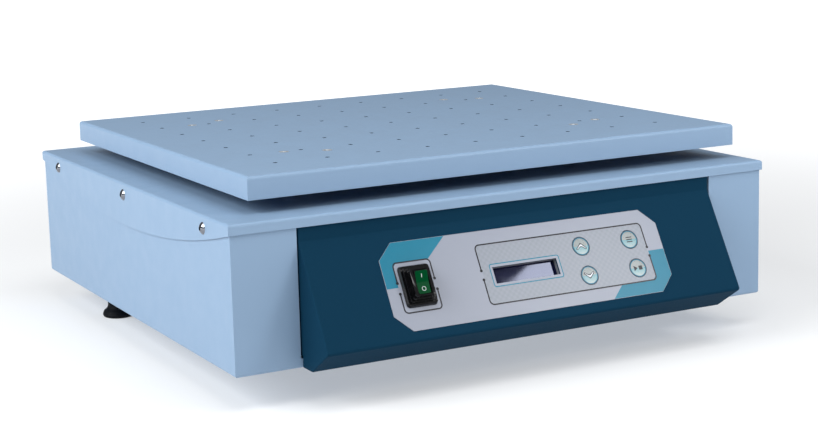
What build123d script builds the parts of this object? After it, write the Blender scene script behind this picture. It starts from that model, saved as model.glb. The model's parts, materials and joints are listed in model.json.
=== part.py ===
from build123d import *
from math import atan2, cos, degrees, hypot, radians, sin
import os

# Orbital shaker with a flat perforated platform, in millimetres.
# Everything is drawn in the machine frame: the main shaft stands on the Z axis, +X is the
# right-hand side, +Y the back, and z = 0 is the underside of the casing. save() lifts each
# piece onto its feet and centres the whole machine front to back, which gives the row frame.

# ---------------------------------------------------------------- driving dimensions
FOOT_HEIGHT = 32.0          # gap between the casing and the bench

LID_WIDTH = 543.0           # top cover, outside
LID_DEPTH = 505.4
LID_TOP = 128.1
LIP_HEIGHT = 9.7            # turned-down edge at the front and back of the cover
SKIRT_SAG = 30.0            # how far the side skirts hang below the lips at mid-length
SKIRT_CHORD = 500.0         # length over which the skirt's arc drops
SHEET = 1.5                 # folded steel of the casing
LID_GAP = 0.3               # play between the cover's edges and the casing's walls
BEND = 2.5                  # outside radius of a folded edge

PLATFORM_WIDTH = 500.0
PLATFORM_DEPTH = 440.0
PLATFORM_TOP = 160.7
PLATFORM_EDGE = 20.0        # height of its turned-down rim
PLATFORM_SHEET = 2.0
PLATFORM_BEND = 3.0         # outside radius of its folds
HOLE_PITCH_X = 50.0         # grid of tapped holes for clamps and accessories
HOLE_PITCH_Y = 55.0
HOLE_COLUMNS = 9
HOLE_ROWS = 7
HOLE_R = 2.1                # M5 tapping size

ORBIT_RADIUS = 10.0         # the platform runs round a 20 mm circle
REST_ANGLE = -27.6          # where on that circle it stands, degrees

CONSOLE_WIDTH = 418.0
CONSOLE_SHEET = 2.0
KNEE_Z = 106.5              # upper end of the sloping face
NOSE_OUT = 48.9             # how far the console's nose stands out from the casing
NOSE_Z = 21.0
HEEL_OUT = 17.0             # lower back corner of the nose's return
OPENING_WIDTH = 421.0       # hole in the casing's front wall that the console fills
SILL_Z = 8.0

OVERLAY_WIDTH = 282.0       # printed membrane panel on the slope
OVERLAY_HEIGHT = 78.5
OVERLAY_CORNER = 14.5
OVERLAY_X = -1.0            # its centre, across and down the slope from the knee
OVERLAY_DOWN = 50.1
OVERLAY_T = 0.5

DISPLAY_WIDTH = 65.0        # visible part of the display
DISPLAY_HEIGHT = 15.0
DISPLAY_X = -5.6
DISPLAY_DOWN = 52.1
DISPLAY_DEPTH = 5.0         # how deep its glass lies behind the slope

KEY_R = 8.8
KEY_GAP = 0.2
KEY_TRAVEL = 0.6
KEY_T = 2.1                 # thickness of a key, top face to bottom face
KEY_PROUD = 0.2             # how far a key stands out of the overlay
KEY_STEM = 2.0              # length of the stem under it
KEYS = {                    # centres, across and down the slope from the knee
    "key_up": (55.3, 37.3),
    "key_down": (55.3, 64.5),
    "key_set": (106.9, 37.3),
    "key_start": (106.9, 64.5),
}

SWITCH_X = -113.1           # power switch, centre across and down the slope
SWITCH_DOWN = 51.2
SWITCH_CUT = (21.6, 27.6)   # hole for its housing, across and along the slope
# Steps of its sealing collar, from the panel outwards: half width, half height, top level
COLLAR_STEPS = ((12.4, 15.3, 6.2), (10.6, 14.0, 8.8), (9.5, 12.3, 11.6))
COLLAR_BASE = (14.9, 18.5, 3.6)
COLLAR_TAPER = 22.0
ROCKER_WIDTH = 12.5
ROCKER_R = 10.6             # the rocker's ends are rounded about its pivot
ROCKER_PIVOT = 9.0          # height of the pivot above the slope
ROCKER_TILT = 9.0           # each way from level
ROCKER_GAP = 0.3

CRANK_X = 150.0             # idler cranks stand at the corners of this rectangle
CRANK_Y = 119.0
WEB_LOW = 131.0             # crank webs turn in the gap between cover and platform
WEB_TOP = 138.5
MAIN_SHAFT_R = 10.0         # nominal; a shaft is RUNNING smaller than its bearing
MAIN_PIN_R = 7.5
IDLER_SHAFT_R = 6.0
IDLER_PIN_R = 5.0
RUNNING = 0.05

MOTOR_Y = 150.0             # distance from the main shaft to the motor
MOTOR_R = 38.0
MOTOR_SHAFT_R = 4.0
DRIVEN_R = 47.6             # rims the belt runs on: 4 to 1
DRIVE_R = 11.9
BELT_T = 1.6
BELT_LOW = 104.0
BELT_TOP = 114.0

PLATE_LOW = 88.0            # chassis plate that carries motor and bearings
PLATE_TOP = 93.0
POST_R = 8.0

REAR_FOOT = (235.0, 140.0)
FRONT_FOOT = (172.0, -77.0)   # the front pair stands well back under the console
FOOT_R = 16.3
NECK_R = 10.8
STUD_R = 5.0

INLET_X = 185.0             # mains inlet in the rear wall
INLET_Z = 62.0
INLET_PROUD = 3.0           # thickness of its flange

# ---------------------------------------------------------------- derived sizes
BODY_WIDTH = LID_WIDTH - 2 * (SHEET + LID_GAP)
BODY_DEPTH = LID_DEPTH - 2 * (SHEET + LID_GAP)
FRONT_Y = -BODY_DEPTH / 2                       # outer face of the casing's front wall
BACK_Y = BODY_DEPTH / 2
LID_UNDER = LID_TOP - SHEET
WALL_TOP = LID_UNDER - 0.5
PLATFORM_UNDER = PLATFORM_TOP - PLATFORM_SHEET
CARRIER_T = 6.0
CARRIER_LOW = PLATFORM_UNDER - CARRIER_T
ORBIT_X = ORBIT_RADIUS * cos(radians(REST_ANGLE))
ORBIT_Y = ORBIT_RADIUS * sin(radians(REST_ANGLE))
NOSE_Y = FRONT_Y - NOSE_OUT
NOSE_BEND = 2.5                                 # radius of the console's long bends
SLOPE_ANGLE = atan2(NOSE_OUT, KNEE_Z - NOSE_Z)  # the slope, from upright
HEEL_ANGLE = atan2(NOSE_OUT - HEEL_OUT, NOSE_Z)
# Rounding the nose takes its tip back by this much
NOSE_LOSS = NOSE_BEND * (cos((SLOPE_ANGLE - HEEL_ANGLE) / 2) / cos((SLOPE_ANGLE + HEEL_ANGLE) / 2) - 1)
ROW_SHIFT_Y = -(NOSE_Y + NOSE_LOSS + BACK_Y + INLET_PROUD) / 2
SLOPE_LENGTH = hypot(NOSE_OUT, KNEE_Z - NOSE_Z)
SLOPE_NORMAL = (0, -(KNEE_Z - NOSE_Z) / SLOPE_LENGTH, NOSE_OUT / SLOPE_LENGTH)
CORNERS = {
    "front_left": (-CRANK_X, -CRANK_Y),
    "front_right": (CRANK_X, -CRANK_Y),
    "rear_left": (-CRANK_X, CRANK_Y),
    "rear_right": (CRANK_X, CRANK_Y),
}
FEET = {
    "front_left": (-FRONT_FOOT[0], FRONT_FOOT[1]),
    "front_right": FRONT_FOOT,
    "rear_left": (-REAR_FOOT[0], REAR_FOOT[1]),
    "rear_right": REAR_FOOT,
}

os.makedirs("parts", exist_ok=True)


# ---------------------------------------------------------------- helpers
def save(node, *solids):
    """Write one node's solids, moved from the machine frame to the row frame."""
    flat = [solid for shape in solids for solid in shape.solids()]
    moved = Pos(0, ROW_SHIFT_Y, FOOT_HEIGHT) * Compound(flat)
    export_step(moved, f"parts/{node}.step")


def block(x0, x1, y0, y1, z0, z1):
    """A box between two corners."""
    return Pos((x0 + x1) / 2, (y0 + y1) / 2, (z0 + z1) / 2) * Box(x1 - x0, y1 - y0, z1 - z0)


def rod(x, y, z0, z1, radius):
    """An upright cylinder."""
    return Pos(x, y, (z0 + z1) / 2) * Cylinder(radius, z1 - z0)


def tube(x, y, z0, z1, outer, inner):
    """An upright ring."""
    return rod(x, y, z0, z1, outer) - rod(x, y, z0, z1, inner)


def slab(sketch, z0, z1):
    """A flat outline drawn on XY, raised between two levels."""
    return extrude(Pos(0, 0, z0) * sketch, z1 - z0)


def obround(xa, ya, ra, xb, yb, rb):
    """The outline of a strap round two circles."""
    ends = (Pos(xa, ya) * Circle(ra)).edges() + (Pos(xb, yb) * Circle(rb)).edges()
    return make_hull(ends)


def on_slope(shape):
    """Place a shape drawn flat on XY onto the console's slope: y runs up it from the knee."""
    plane = Plane(origin=(0, FRONT_Y, KNEE_Z), x_dir=(1, 0, 0), z_dir=SLOPE_NORMAL)
    return plane.location * shape


def plate_on_slope(width, height, x, down, low, top, corner=0.0):
    """A rectangular plate at a place on the slope, between two depths along its normal."""
    outline = RectangleRounded(width, height, corner) if corner else Rectangle(width, height)
    return on_slope(Pos(x, -down, low) * extrude(outline, top - low))


def button_screw(shank_r, length, head_r, head_height):
    """A domed socket-head screw along Z; its head stands on z = 0, the shank points down."""
    dome_r = (head_r**2 + head_height**2) / (2 * head_height)
    dome = Pos(0, 0, head_height - dome_r) * Sphere(dome_r)
    head = rod(0, 0, 0, head_height, head_r) & dome
    socket = Pos(0, 0, head_height * 0.35) * extrude(RegularPolygon(head_r * 0.36, 6), head_height)
    return head - socket + rod(0, 0, -length, 0, shank_r)


def cable(points, radii, radius):
    """A round cable: straight runs joined by tangent arcs."""
    path = FilletPolyline(*points, radius=radii)
    return sweep((path ^ 0) * Circle(radius), path=path)


# ---------------------------------------------------------------- casing
def folded_block(width, depth, low, top, bend):
    """A block whose four bottom edges are folds that meet in mitres at sharp upright corners."""
    sides = []
    for across, plane in ((width, Plane.XZ), (depth, Plane.YZ)):
        outline = Pos(0, (low + top) / 2) * Rectangle(across, top - low)
        outline = fillet(outline.vertices().group_by(Axis.Y)[0], bend)
        sides.append(plane.location * extrude(outline, max(width, depth), both=True))
    return sides[0] & sides[1]


def folded_tray(width, depth, low, top, sheet, bend):
    """An open-topped box of folded sheet, with welded upright corners."""
    outer = folded_block(width, depth, low, top, bend)
    return outer - folded_block(width - 2 * sheet, depth - 2 * sheet, low + sheet, top + 1, bend - sheet)


COVER_SCREW_Y = (-197.5, 0.0, 197.5)
COVER_SCREW_Z = 117.0
COVER_SCREW_R = 2.5
RETURN_DEPTH = 14.0         # folded returns beside the console's opening
RETURN_CORNER = 6.0         # rounding of their upper corners
CONSOLE_SCREW_Z = (32.0, 98.0)
CONSOLE_SCREW_IN = 7.0      # behind the front wall
INLET_BODY = (31.0, 37.0)   # hole for the mains inlet, wide and high
VENT_COLUMNS = 14           # upright slots in the rear wall
VENT_PITCH = 10.0
VENT_X = -150.0
VENT_Z = 62.0
VENT_SLOT = (44.0, 4.0)     # each slot, high and wide


def cross_hole(x, y, z, radius, length):
    """A round hole along X."""
    return Pos(x, y, z) * Rot(0, 90, 0) * Cylinder(radius, length)


def base_tray():
    tray = folded_tray(BODY_WIDTH, BODY_DEPTH, 0, WALL_TOP, SHEET, BEND)
    half = OPENING_WIDTH / 2
    tray -= block(-half, half, FRONT_Y - 1, FRONT_Y + 5, SILL_Z, WALL_TOP + 1)
    for side in (-1, 1):
        inner, outer = sorted((side * half, side * (half + SHEET)))
        tray += block(inner, outer, FRONT_Y, FRONT_Y + RETURN_DEPTH, SILL_Z, WALL_TOP)
        corner = block(0, RETURN_CORNER, 0, RETURN_DEPTH + 2, -RETURN_CORNER, 1)
        corner -= Pos(RETURN_CORNER, 0, -RETURN_CORNER) * Rot(90, 0, 0) * Cylinder(RETURN_CORNER, 3 * RETURN_DEPTH)
        if side < 0:
            corner = mirror(corner, about=Plane.YZ)
        tray -= Pos(side * half, FRONT_Y - 1, WALL_TOP) * corner
        for z in CONSOLE_SCREW_Z:
            tray -= cross_hole(side * half, FRONT_Y + CONSOLE_SCREW_IN, z, 2.2, 10)
        for y in COVER_SCREW_Y:
            tray -= cross_hole(side * BODY_WIDTH / 2, y, COVER_SCREW_Z, COVER_SCREW_R, 10)
    for x, y in FEET.values():
        tray -= rod(x, y, -1, SHEET + 1, STUD_R + 0.3)
    wide, high = INLET_BODY
    tray -= Pos(INLET_X, BACK_Y, INLET_Z) * Box(wide, 10, high)
    slot = Rot(90, 0, 0) * extrude(SlotOverall(*VENT_SLOT, rotation=90), 6, both=True)
    for column in range(VENT_COLUMNS):
        x = VENT_X + (column - (VENT_COLUMNS - 1) / 2) * VENT_PITCH
        tray -= Pos(x, BACK_Y, VENT_Z) * slot
    return tray


SEAL_HOLE_MAIN = 22.0       # holes in the cover round the shafts
SEAL_HOLE_IDLER = 16.0


def top_cover():
    skirt_low = LID_TOP - LIP_HEIGHT - SKIRT_SAG
    shell = Rot(180, 0, 0) * folded_tray(LID_WIDTH, LID_DEPTH, -LID_TOP, -skirt_low, SHEET, BEND)
    arc_radius = (SKIRT_CHORD**2 / 4 + SKIRT_SAG**2) / (2 * SKIRT_SAG)
    arc = Pos(0, 0, skirt_low + arc_radius) * Rot(0, 90, 0) * Cylinder(arc_radius, LID_WIDTH + 10)
    cover = shell & arc
    lip_low = LID_TOP - LIP_HEIGHT
    half_skirt = SKIRT_CHORD / 2
    for y0, y1 in ((-LID_DEPTH, -half_skirt), (half_skirt, LID_DEPTH)):
        cover -= block(-LID_WIDTH, LID_WIDTH, y0, y1, 0, lip_low)
    cover -= rod(0, 0, LID_UNDER - 1, LID_TOP + 1, SEAL_HOLE_MAIN)
    for x, y in CORNERS.values():
        cover -= rod(x, y, LID_UNDER - 1, LID_TOP + 1, SEAL_HOLE_IDLER)
    for side in (-1, 1):
        for y in COVER_SCREW_Y:
            cover -= cross_hole(side * LID_WIDTH / 2, y, COVER_SCREW_Z, COVER_SCREW_R, 10)
    return cover


def cover_screws():
    """Domed screws that hold the cover's skirts to the casing's side walls."""
    screw = button_screw(COVER_SCREW_R - 0.1, 9, 5.4, 2.9)
    return [
        Pos(side * LID_WIDTH / 2, y, COVER_SCREW_Z) * Rot(0, side * 90, 0) * screw
        for side in (-1, 1)
        for y in COVER_SCREW_Y
    ]


def shaft_seals():
    """Rubber lip rings that close the cover round the five shafts."""
    seals = []
    for x, y, hole, shaft in [(0, 0, SEAL_HOLE_MAIN, MAIN_SHAFT_R)] + [
        (x, y, SEAL_HOLE_IDLER, IDLER_SHAFT_R) for x, y in CORNERS.values()
    ]:
        ring = tube(x, y, LID_UNDER - 1.5, LID_TOP + 1.5, hole, shaft + 0.4)
        ring += tube(x, y, LID_TOP, LID_TOP + 1.5, hole + 3, shaft + 0.4)
        ring += tube(x, y, LID_UNDER - 1.5, LID_UNDER, hole + 3, shaft + 0.4)
        seals.append(ring)
    return seals


# ---------------------------------------------------------------- console
def console_profile():
    """Side outline of the console, drawn with y across and z up."""
    back = FRONT_Y + 12
    points = [
        (back, WALL_TOP - 1),
        (FRONT_Y, WALL_TOP - 1),
        (FRONT_Y, KNEE_Z),
        (NOSE_Y, NOSE_Z),
        (FRONT_Y - HEEL_OUT, 0),
        (FRONT_Y - 0.3, 0),
        (FRONT_Y - 0.3, SILL_Z + 2),
        (back, SILL_Z + 2),
    ]
    return make_face(Polyline(*points, close=True))


def along_x(sketch, width):
    """Extrude an outline drawn as (y, z) across the machine, centred on x = 0."""
    return Plane.YZ.location * extrude(sketch, width / 2, both=True)


def long_bends(shape):
    """The long outer edges of the console: knee, nose and heel."""
    corners = ((FRONT_Y, KNEE_Z), (NOSE_Y, NOSE_Z), (FRONT_Y - HEEL_OUT, 0))
    return [
        edge
        for edge in shape.edges().filter_by(Axis.X)
        if any(hypot(edge.center().Y - y, edge.center().Z - z) < 0.1 for y, z in corners)
    ]


def console_shell():
    outline = console_profile()
    body = along_x(outline, CONSOLE_WIDTH)
    body = fillet(long_bends(body), NOSE_BEND)
    cheek_edges = [
        edge
        for edge in body.edges()
        if abs(abs(edge.center().X) - CONSOLE_WIDTH / 2) < 0.01 and edge.center().Y < FRONT_Y - 1
    ]
    body = fillet(cheek_edges, 1.2)
    cavity = offset(outline, amount=-CONSOLE_SHEET, kind=Kind.INTERSECTION)
    width = CONSOLE_WIDTH - 2 * CONSOLE_SHEET
    body -= along_x(cavity, width)
    low, top = SILL_Z + 2 + CONSOLE_SHEET, WALL_TOP - 1 - CONSOLE_SHEET
    body -= block(-width / 2, width / 2, FRONT_Y + 9, FRONT_Y + 13, low, top)
    body -= plate_on_slope(DISPLAY_WIDTH + 0.6, DISPLAY_HEIGHT + 0.6, DISPLAY_X, DISPLAY_DOWN, -6, 2)
    body -= plate_on_slope(*SWITCH_CUT, SWITCH_X, SWITCH_DOWN, -6, 2)
    for x, down in KEYS.values():
        body -= on_slope(Pos(x, -down, 0) * Cylinder(KEY_R + 0.4, 12))
    for side in (-1, 1):
        for z in CONSOLE_SCREW_Z:
            body -= cross_hole(side * CONSOLE_WIDTH / 2, FRONT_Y + CONSOLE_SCREW_IN, z, 1.7, 8)
    return body


def console_screws():
    """Small screws that pull the console's cheeks against the casing's folded returns."""
    screw = button_screw(1.65, 6.5, 3.5, 2.0)
    head_x = OPENING_WIDTH / 2 + SHEET
    return [
        Pos(side * head_x, FRONT_Y + CONSOLE_SCREW_IN, z) * Rot(0, side * 90, 0) * screw
        for side in (-1, 1)
        for z in CONSOLE_SCREW_Z
    ]


def front_overlay():
    """Eight-sided printed membrane with holes for the switch, the display and the keys."""
    outline = Rectangle(OVERLAY_WIDTH, OVERLAY_HEIGHT)
    outline = chamfer(outline.vertices(), OVERLAY_CORNER)
    sheet = on_slope(Pos(OVERLAY_X, -OVERLAY_DOWN, 0) * extrude(outline, OVERLAY_T))
    sheet -= plate_on_slope(DISPLAY_WIDTH, DISPLAY_HEIGHT, DISPLAY_X, DISPLAY_DOWN, -1, 2)
    sheet -= plate_on_slope(*SWITCH_CUT, SWITCH_X, SWITCH_DOWN, -1, 2)
    for x, down in KEYS.values():
        sheet -= on_slope(Pos(x, -down, 0) * Cylinder(KEY_R + KEY_GAP, 4))
    return sheet


def key(x, down):
    """A round membrane key with the short stem that presses its switch."""
    top = OVERLAY_T + KEY_PROUD
    disc = rod(0, 0, top - KEY_T, top, KEY_R)
    disc = fillet(disc.edges().group_by(Axis.Z)[-1], 0.3)
    stem = rod(0, 0, top - KEY_T - KEY_STEM, top - KEY_T, 2.0)
    return on_slope(Pos(x, -down, 0) * (disc + stem))


BOARD_TOP = -8.0            # circuit boards behind the slope
BOARD_T = 1.6


def keypad_board():
    return plate_on_slope(78, 48, 81, OVERLAY_DOWN, BOARD_TOP - BOARD_T, BOARD_TOP, corner=2)


def tact_switches():
    """Push switches on the keypad board; each plunger waits just under its key's stem."""
    stem_end = OVERLAY_T + KEY_PROUD - KEY_T - KEY_STEM
    plunger_top = stem_end - KEY_TRAVEL - 0.15
    switches = []
    for x, down in KEYS.values():
        body = plate_on_slope(6, 6, x, down, BOARD_TOP, BOARD_TOP + 3.4)
        switches.append(body + on_slope(Pos(x, -down, 0) * rod(0, 0, BOARD_TOP + 3.4, plunger_top, 1.7)))
    return switches


def display_bezel():
    """Metal frame of the display, behind the slope, open over the glass."""
    frame = plate_on_slope(80, 27, DISPLAY_X, DISPLAY_DOWN, BOARD_TOP, -CONSOLE_SHEET - 0.1, corner=1)
    frame -= plate_on_slope(DISPLAY_WIDTH, DISPLAY_HEIGHT, DISPLAY_X, DISPLAY_DOWN, -DISPLAY_DEPTH, 0)
    return frame - plate_on_slope(71, 24, DISPLAY_X, DISPLAY_DOWN, BOARD_TOP - 1, -DISPLAY_DEPTH)


def display_glass():
    return plate_on_slope(70.8, 23.8, DISPLAY_X, DISPLAY_DOWN, -DISPLAY_DEPTH - 2.8, -DISPLAY_DEPTH - 0.02)


def display_board():
    return plate_on_slope(84, 36, DISPLAY_X, DISPLAY_DOWN, BOARD_TOP - BOARD_T, BOARD_TOP, corner=2)


def switch_guard():
    """Stepped black sealing collar round the power switch, with a well for the rocker."""
    half_x, half_y, top = COLLAR_BASE
    outline = RectangleRounded(2 * half_x, 2 * half_y, 3.5)
    collar = Pos(0, 0, OVERLAY_T) * extrude(outline, top - OVERLAY_T, taper=COLLAR_TAPER)
    low = top
    for half_x, half_y, top in COLLAR_STEPS:
        step = RectangleRounded(2 * half_x, 2 * half_y, 2.4)
        collar += Pos(0, 0, low) * extrude(step, top - low)
        low = top
    well = Rectangle(ROCKER_WIDTH + 2 * ROCKER_GAP, 2 * (ROCKER_R + ROCKER_GAP))
    collar -= Pos(0, 0, OVERLAY_T) * extrude(well, top)
    return on_slope(Pos(SWITCH_X, -SWITCH_DOWN, 0) * collar)


def power_rocker():
    """Two-faced rocker; its ends and belly are round about the pivot, and it stands at O."""
    disc = Circle(ROCKER_R)
    upper = [(-ROCKER_R, 3.0), (0, 1.7), (ROCKER_R, 3.0), (ROCKER_R, -5.0), (-ROCKER_R, -5.0)]
    outline = disc & make_face(Polyline(*upper, close=True))
    bar = Plane.YZ.location * extrude(outline, ROCKER_WIDTH / 2, both=True)
    bar = fillet(bar.edges().filter_by(Axis.X).group_by(Axis.Z)[-1], 0.5)
    return on_slope(Pos(SWITCH_X, -SWITCH_DOWN, ROCKER_PIVOT) * Rot(ROCKER_TILT, 0, 0) * bar)


def switch_body():
    """Moulded housing of the switch behind the panel, with four blade terminals."""
    body = plate_on_slope(21.0, 27.0, SWITCH_X, SWITCH_DOWN, -18, OVERLAY_T, corner=1)
    body -= plate_on_slope(ROCKER_WIDTH + 1.2, 24, SWITCH_X, SWITCH_DOWN, -2, OVERLAY_T + 1)
    for x in (-5, 5):
        for y in (-7, 7):
            body += plate_on_slope(0.8, 6.3, SWITCH_X + x, SWITCH_DOWN + y, -27, -18)
    return body


# ---------------------------------------------------------------- chassis inside the casing
POSTS = [(x, y) for x in (-178, 178) for y in (-152, 20, 193)]
MAIN_FLANGE_R = 55.0
MAIN_BARREL_R = 32.0
IDLER_BARREL_R = 19.0
IDLER_FLANGE = 56.0
MAIN_FLANGE_T = 6.0
IDLER_FLANGE_T = 6.0
MAIN_BOLT_R = 44.0
IDLER_BOLT_OFFSET = 21.0
MOTOR_BOLT_R = 31.0
BOLT_R = 2.5


def around(count, radius, start=45.0):
    """Points evenly spaced on a circle."""
    angles = [radians(start + 360 * i / count) for i in range(count)]
    return [(radius * cos(a), radius * sin(a)) for a in angles]


def plate_bolt_places():
    """Where screws enter the chassis plate from above: posts, main housing and idler housings."""
    places = [(x, y, PLATE_TOP) for x, y in POSTS]
    places += [(x, y, PLATE_TOP + MAIN_FLANGE_T) for x, y in around(6, MAIN_BOLT_R, 30)]
    for cx, cy in CORNERS.values():
        for sx, sy in ((-1, -1), (1, -1), (-1, 1), (1, 1)):
            x, y = cx + sx * IDLER_BOLT_OFFSET, cy + sy * IDLER_BOLT_OFFSET
            places.append((x, y, PLATE_TOP + IDLER_FLANGE_T))
    places += [(x, MOTOR_Y + y, PLATE_TOP) for x, y in around(4, MOTOR_BOLT_R)]
    return places


def chassis_plate():
    plate = slab(Pos(0, 22.5) * RectangleRounded(376, 365, 12), PLATE_LOW, PLATE_TOP)
    plate -= rod(0, 0, PLATE_LOW - 1, PLATE_TOP + 1, MAIN_BARREL_R + 0.2)
    plate -= rod(0, MOTOR_Y, PLATE_LOW - 1, PLATE_TOP + 1, 13)
    for x, y in CORNERS.values():
        plate -= rod(x, y, PLATE_LOW - 1, PLATE_TOP + 1, IDLER_BARREL_R + 0.2)
    for x, y, _ in plate_bolt_places():
        plate -= rod(x, y, PLATE_LOW - 1, PLATE_TOP + 1, BOLT_R + 0.1)
    for x in (-95, 95):
        plate -= slab(Pos(x, 0) * RectangleRounded(50, 50, 8), PLATE_LOW - 1, PLATE_TOP + 1)
    return plate


def chassis_posts():
    """Pillars from the casing's floor to the chassis plate, drilled for a screw at the top."""
    return [tube(x, y, PLATE_LOW - 16, PLATE_LOW, POST_R, BOLT_R + 0.1)
            + rod(x, y, SHEET, PLATE_LOW - 16, POST_R) for x, y in POSTS]


def plate_screws():
    screw = button_screw(BOLT_R, 12, 4.7, 2.7)
    return [Pos(x, y, z) * screw for x, y, z in plate_bolt_places()]


MAIN_BEARINGS = ((30.0, 44.0), (84.0, 98.0))
IDLER_BEARINGS = ((58.0, 66.0), (109.0, 117.0))


def main_bearing_housing():
    low, top = MAIN_BEARINGS[0][0] - 4, PLATE_TOP + MAIN_FLANGE_T
    body = rod(0, 0, low, top, MAIN_BARREL_R) + rod(0, 0, PLATE_TOP, top, MAIN_FLANGE_R)
    body -= rod(0, 0, low - 1, top + 1, 20)
    body -= rod(0, 0, low - 1, MAIN_BEARINGS[0][1], 23.5)
    body -= rod(0, 0, MAIN_BEARINGS[1][0], top + 1, 23.5)
    for x, y in around(6, MAIN_BOLT_R, 30):
        body -= rod(x, y, PLATE_TOP - 1, top + 1, BOLT_R + 0.1)
    return body


def corner_bearing_housings():
    low, top = IDLER_BEARINGS[0][0] - 2, IDLER_BEARINGS[1][1] + 1
    housings = []
    for x, y in CORNERS.values():
        body = rod(x, y, low, top, IDLER_BARREL_R)
        flange = Pos(x, y) * RectangleRounded(IDLER_FLANGE, IDLER_FLANGE, 8)
        body += slab(flange, PLATE_TOP, PLATE_TOP + IDLER_FLANGE_T)
        body -= rod(x, y, low - 1, top + 1, 11)
        body -= rod(x, y, low - 1, IDLER_BEARINGS[0][1], 14)
        body -= rod(x, y, IDLER_BEARINGS[1][0], top + 1, 14)
        for sx, sy in ((-1, -1), (1, -1), (-1, 1), (1, 1)):
            offset_x, offset_y = sx * IDLER_BOLT_OFFSET, sy * IDLER_BOLT_OFFSET
            body -= rod(x + offset_x, y + offset_y, PLATE_TOP - 1, PLATE_TOP + 7, BOLT_R + 0.1)
        housings.append(body)
    return housings


def ball_bearing(x, y, z0, z1, outer, bore):
    """A sealed ball bearing: races with a shallow recess over the seals on each face."""
    body = tube(x, y, z0, z1, outer, bore)
    race = (outer - bore) * 0.25
    for a, b in ((z0 - 1, z0 + 0.6), (z1 - 0.6, z1 + 1)):
        body -= tube(x, y, a, b, outer - race, bore + race)
    return body


def main_bearings():
    return [ball_bearing(0, 0, z0, z1, 23.5, MAIN_SHAFT_R) for z0, z1 in MAIN_BEARINGS]


def corner_bearings():
    return [
        ball_bearing(x, y, z0, z1, 14, IDLER_SHAFT_R)
        for x, y in CORNERS.values()
        for z0, z1 in IDLER_BEARINGS
    ]


MOTOR_LOW = 16.0
MOTOR_SHAFT_LOW = 76.0


def motor_body():
    """Upright direct-current motor hung under the chassis plate, with cooling ribs."""
    body = rod(0, MOTOR_Y, MOTOR_LOW, PLATE_LOW, MOTOR_R)
    body = fillet(body.edges().group_by(Axis.Z)[0], 4)
    for x, y in around(16, MOTOR_R + 0.6, 0):
        body -= rod(x, MOTOR_Y + y, MOTOR_LOW + 12, PLATE_LOW - 10, 2)
    body += rod(0, MOTOR_Y, PLATE_LOW, PLATE_TOP, 12.8)
    body -= rod(0, MOTOR_Y, MOTOR_SHAFT_LOW, PLATE_TOP + 1, MOTOR_SHAFT_R)
    for x, y in around(4, MOTOR_BOLT_R):
        body -= rod(x, MOTOR_Y + y, PLATE_LOW - 9, PLATE_LOW + 1, BOLT_R + 0.1)
    return body


def drive_belt():
    """Endless flat belt, standing a hair clear of both rims."""
    inner = obround(0, 0, DRIVEN_R + 0.1, 0, MOTOR_Y, DRIVE_R + 0.1)
    outer = obround(0, 0, DRIVEN_R + 0.1 + BELT_T, 0, MOTOR_Y, DRIVE_R + 0.1 + BELT_T)
    return slab(outer - inner, BELT_LOW, BELT_TOP)


def speed_sensor():
    """Small sensor on a bracket, looking at the rim of the driven pulley."""
    bracket = block(-70, -58, -8, 8, PLATE_TOP, PLATE_TOP + 3) + block(-61, -58, -8, 8, PLATE_TOP, 112)
    return bracket + block(-58, -54, -5, 5, 106, 112)


# ---------------------------------------------------------------- drive train
def main_shaft():
    shaft = rod(0, 0, 26, WEB_TOP, MAIN_SHAFT_R - RUNNING)
    return chamfer(shaft.edges().group_by(Axis.Z)[0], 1)


def driven_pulley():
    """Belt pulley clamped on the main shaft, with two rim flanges and six round windows."""
    low, top = BELT_LOW - 1.6, BELT_TOP + 1.6
    pulley = rod(0, 0, low, top, DRIVEN_R)
    pulley += rod(0, 0, low, low + 1.4, DRIVEN_R + 3.4)
    pulley += rod(0, 0, top - 1.4, top, DRIVEN_R + 3.4)
    pulley -= rod(0, 0, low - 1, top + 1, MAIN_SHAFT_R - RUNNING)
    for x, y in around(6, 30, 0):
        pulley -= rod(x, y, low - 1, top + 1, 8)
    return pulley


COUNTERWEIGHT_R = 80.0
COUNTERWEIGHT_LOW = BELT_TOP + 1.6
COUNTERWEIGHT_T = 7.5


def counterweight():
    """Half disc on the side away from the eccentric pin."""
    low, top = COUNTERWEIGHT_LOW, COUNTERWEIGHT_LOW + COUNTERWEIGHT_T
    hub = Circle(20)
    half = Pos(0, COUNTERWEIGHT_R / 2 + 6) * Rectangle(3 * COUNTERWEIGHT_R, COUNTERWEIGHT_R)
    weight = slab(hub + (Circle(COUNTERWEIGHT_R) & half), low, top)
    weight -= rod(0, 0, low - 1, top + 1, MAIN_SHAFT_R - RUNNING)
    return Rot(0, 0, REST_ANGLE + 90) * weight


def eccentric_hub():
    """Web on top of the main shaft with the offset pin that drives the platform."""
    web = slab(obround(0, 0, 23, ORBIT_X, ORBIT_Y, 16), WEB_LOW, WEB_TOP)
    web -= rod(0, 0, WEB_LOW - 1, WEB_TOP + 1, MAIN_SHAFT_R - RUNNING)
    pin = rod(ORBIT_X, ORBIT_Y, WEB_TOP - 3, CARRIER_LOW + 1, MAIN_PIN_R - RUNNING)
    return web + (pin - rod(0, 0, WEB_LOW, WEB_TOP, MAIN_SHAFT_R - RUNNING))


def idler_crank(x, y):
    """Idler crank in one piece: shaft below the cover, web above it, offset pin on the web."""
    shaft = rod(x, y, IDLER_BEARINGS[0][0] - 1, WEB_LOW, IDLER_SHAFT_R - RUNNING)
    web = slab(obround(x, y, 15, x + ORBIT_X, y + ORBIT_Y, 12), WEB_LOW, WEB_TOP)
    pin = rod(x + ORBIT_X, y + ORBIT_Y, WEB_TOP, CARRIER_LOW - 0.5, IDLER_PIN_R - RUNNING)
    return shaft + web + pin


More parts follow.
